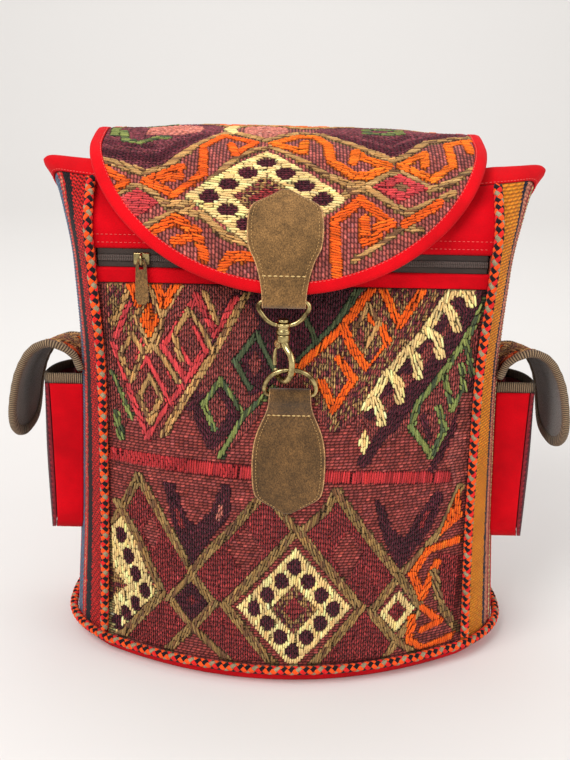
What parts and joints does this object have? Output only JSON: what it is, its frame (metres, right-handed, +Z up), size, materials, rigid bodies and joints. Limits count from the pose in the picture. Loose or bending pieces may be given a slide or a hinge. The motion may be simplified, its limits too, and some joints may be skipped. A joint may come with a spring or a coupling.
{
  "type": "wool backpack",
  "caption": "Soft kilim wool backpack with a bound flap on a swivel hook, zipped front pocket, side pockets with flaps, braided seams and shoulder straps.",
  "frame": {"origin": "middle of the flat base, between the front corner seams and at mid depth of the panels", "axes": "+Z up, the front with its flap and hook faces -Y, +X to the right as seen from the front"},
  "size_m": [0.4616, 0.2462, 0.4355],
  "materials": {
    "kilim_wool": "woven wool, matt",
    "striped_wool": "woven wool stripes, matt",
    "red_cloth": "cotton, matt",
    "lining_cloth": "cotton, matt",
    "brown_ribbon": "ribbed ribbon, matt",
    "braid_wool": "plaited wool, matt",
    "suede": "suede",
    "antique_brass": "antique, satin",
    "zip_tape_cloth": "woven tape",
    "zip_coil": "coil",
    "strap_cloth": "woven webbing and padded cloth"
  },
  "bodies": {
    "bag": {"front_panel": "kilim_wool", "flap": "kilim_wool", "pocket_flap_left": "kilim_wool", "pocket_flap_right": "kilim_wool", "side_panel_left": "striped_wool", "side_panel_right": "striped_wool", "pocket_face_left": "striped_wool", "pocket_face_right": "striped_wool", "zip_facing": "red_cloth", "front_yoke": "red_cloth", "back_panel": "red_cloth", "bottom_panel": "red_cloth", "mouth_binding": "red_cloth", "flap_binding": "red_cloth", "pocket_gusset_left": "red_cloth", "pocket_gusset_right": "red_cloth", "lining": "lining_cloth", "zip_pouch": "lining_cloth", "flap_lining": "lining_cloth", "pocket_rim_left": "brown_ribbon", "pocket_rim_right": "brown_ribbon", "pocket_flap_binding_left": "brown_ribbon", "pocket_flap_binding_right": "brown_ribbon", "braid_left": "braid_wool", "braid_right": "braid_wool", "braid_bottom": "braid_wool", "flap_tab": "suede", "ring_tab": "suede", "zip_tape_upper": "zip_tape_cloth", "zip_tape_lower": "zip_tape_cloth", "zip_chain": "zip_coil", "strap_pad_left": "strap_cloth", "strap_pad_right": "strap_cloth", "strap_web_left": "strap_cloth", "strap_web_right": "strap_cloth", "haul_loop": "strap_cloth"},
    "slider": {"zip_slider": "antique_brass"},
    "pull": {"zip_pull": "suede"},
    "eye": {"hook_eye": "antique_brass"},
    "hook": {"hook_body": "antique_brass", "gate_pin": "antique_brass"},
    "gate": {"hook_gate": "antique_brass"},
    "ring": {"ring": "antique_brass"},
    "slide_left": {"strap_slide_left": "antique_brass"},
    "slide_right": {"strap_slide_right": "antique_brass"}
  },
  "joints": [
    {"name": "zip_travel", "type": "slide", "parent": "bag", "child": "slider", "axis": [1, 0, 0], "range_m": [0, 0.226]},
    {"name": "pull_swing", "type": "hinge", "parent": "slider", "child": "pull", "pos_m": [-0.113, -0.0769, 0.3516], "axis": [-1, 0, 0], "range_deg": [0, 75]},
    {"name": "hook_swing", "type": "hinge", "parent": "bag", "child": "eye", "pos_m": [-0.006, -0.10109, 0.32849], "axis": [1, 0, 0], "range_deg": [-3, 3]},
    {"name": "hook_swivel", "type": "hinge", "parent": "eye", "child": "hook", "pos_m": [-0.006, -0.10109, 0.3], "axis": [0, 0, 1], "range_deg": [-8, 4]},
    {"name": "gate_swing", "type": "hinge", "parent": "hook", "child": "gate", "pos_m": [-0.0087, -0.09787, 0.29549], "axis": [-0.766, -0.6428, 0], "range_deg": [0, 12], "stiffness_Nm_per_rad": 0.02, "springref_deg": -5.73},
    {"name": "ring_swing", "type": "hinge", "parent": "bag", "child": "ring", "pos_m": [0, -0.09571, 0.25469], "axis": [1, 0, 0], "range_deg": [-7.02, 7.02]},
    {"name": "slide_left_travel", "type": "slide", "parent": "bag", "child": "slide_left", "axis": [-0.1717, -0.2154, -0.9613], "range_m": [-0.02, 0.03]},
    {"name": "slide_right_travel", "type": "slide", "parent": "bag", "child": "slide_right", "axis": [0.1717, -0.2154, -0.9613], "range_m": [-0.02, 0.03]}
  ],
  "couplings": [
    {"joint": "ring_swing", "follows": "hook_swing", "ratio": -2.34}
  ]
}
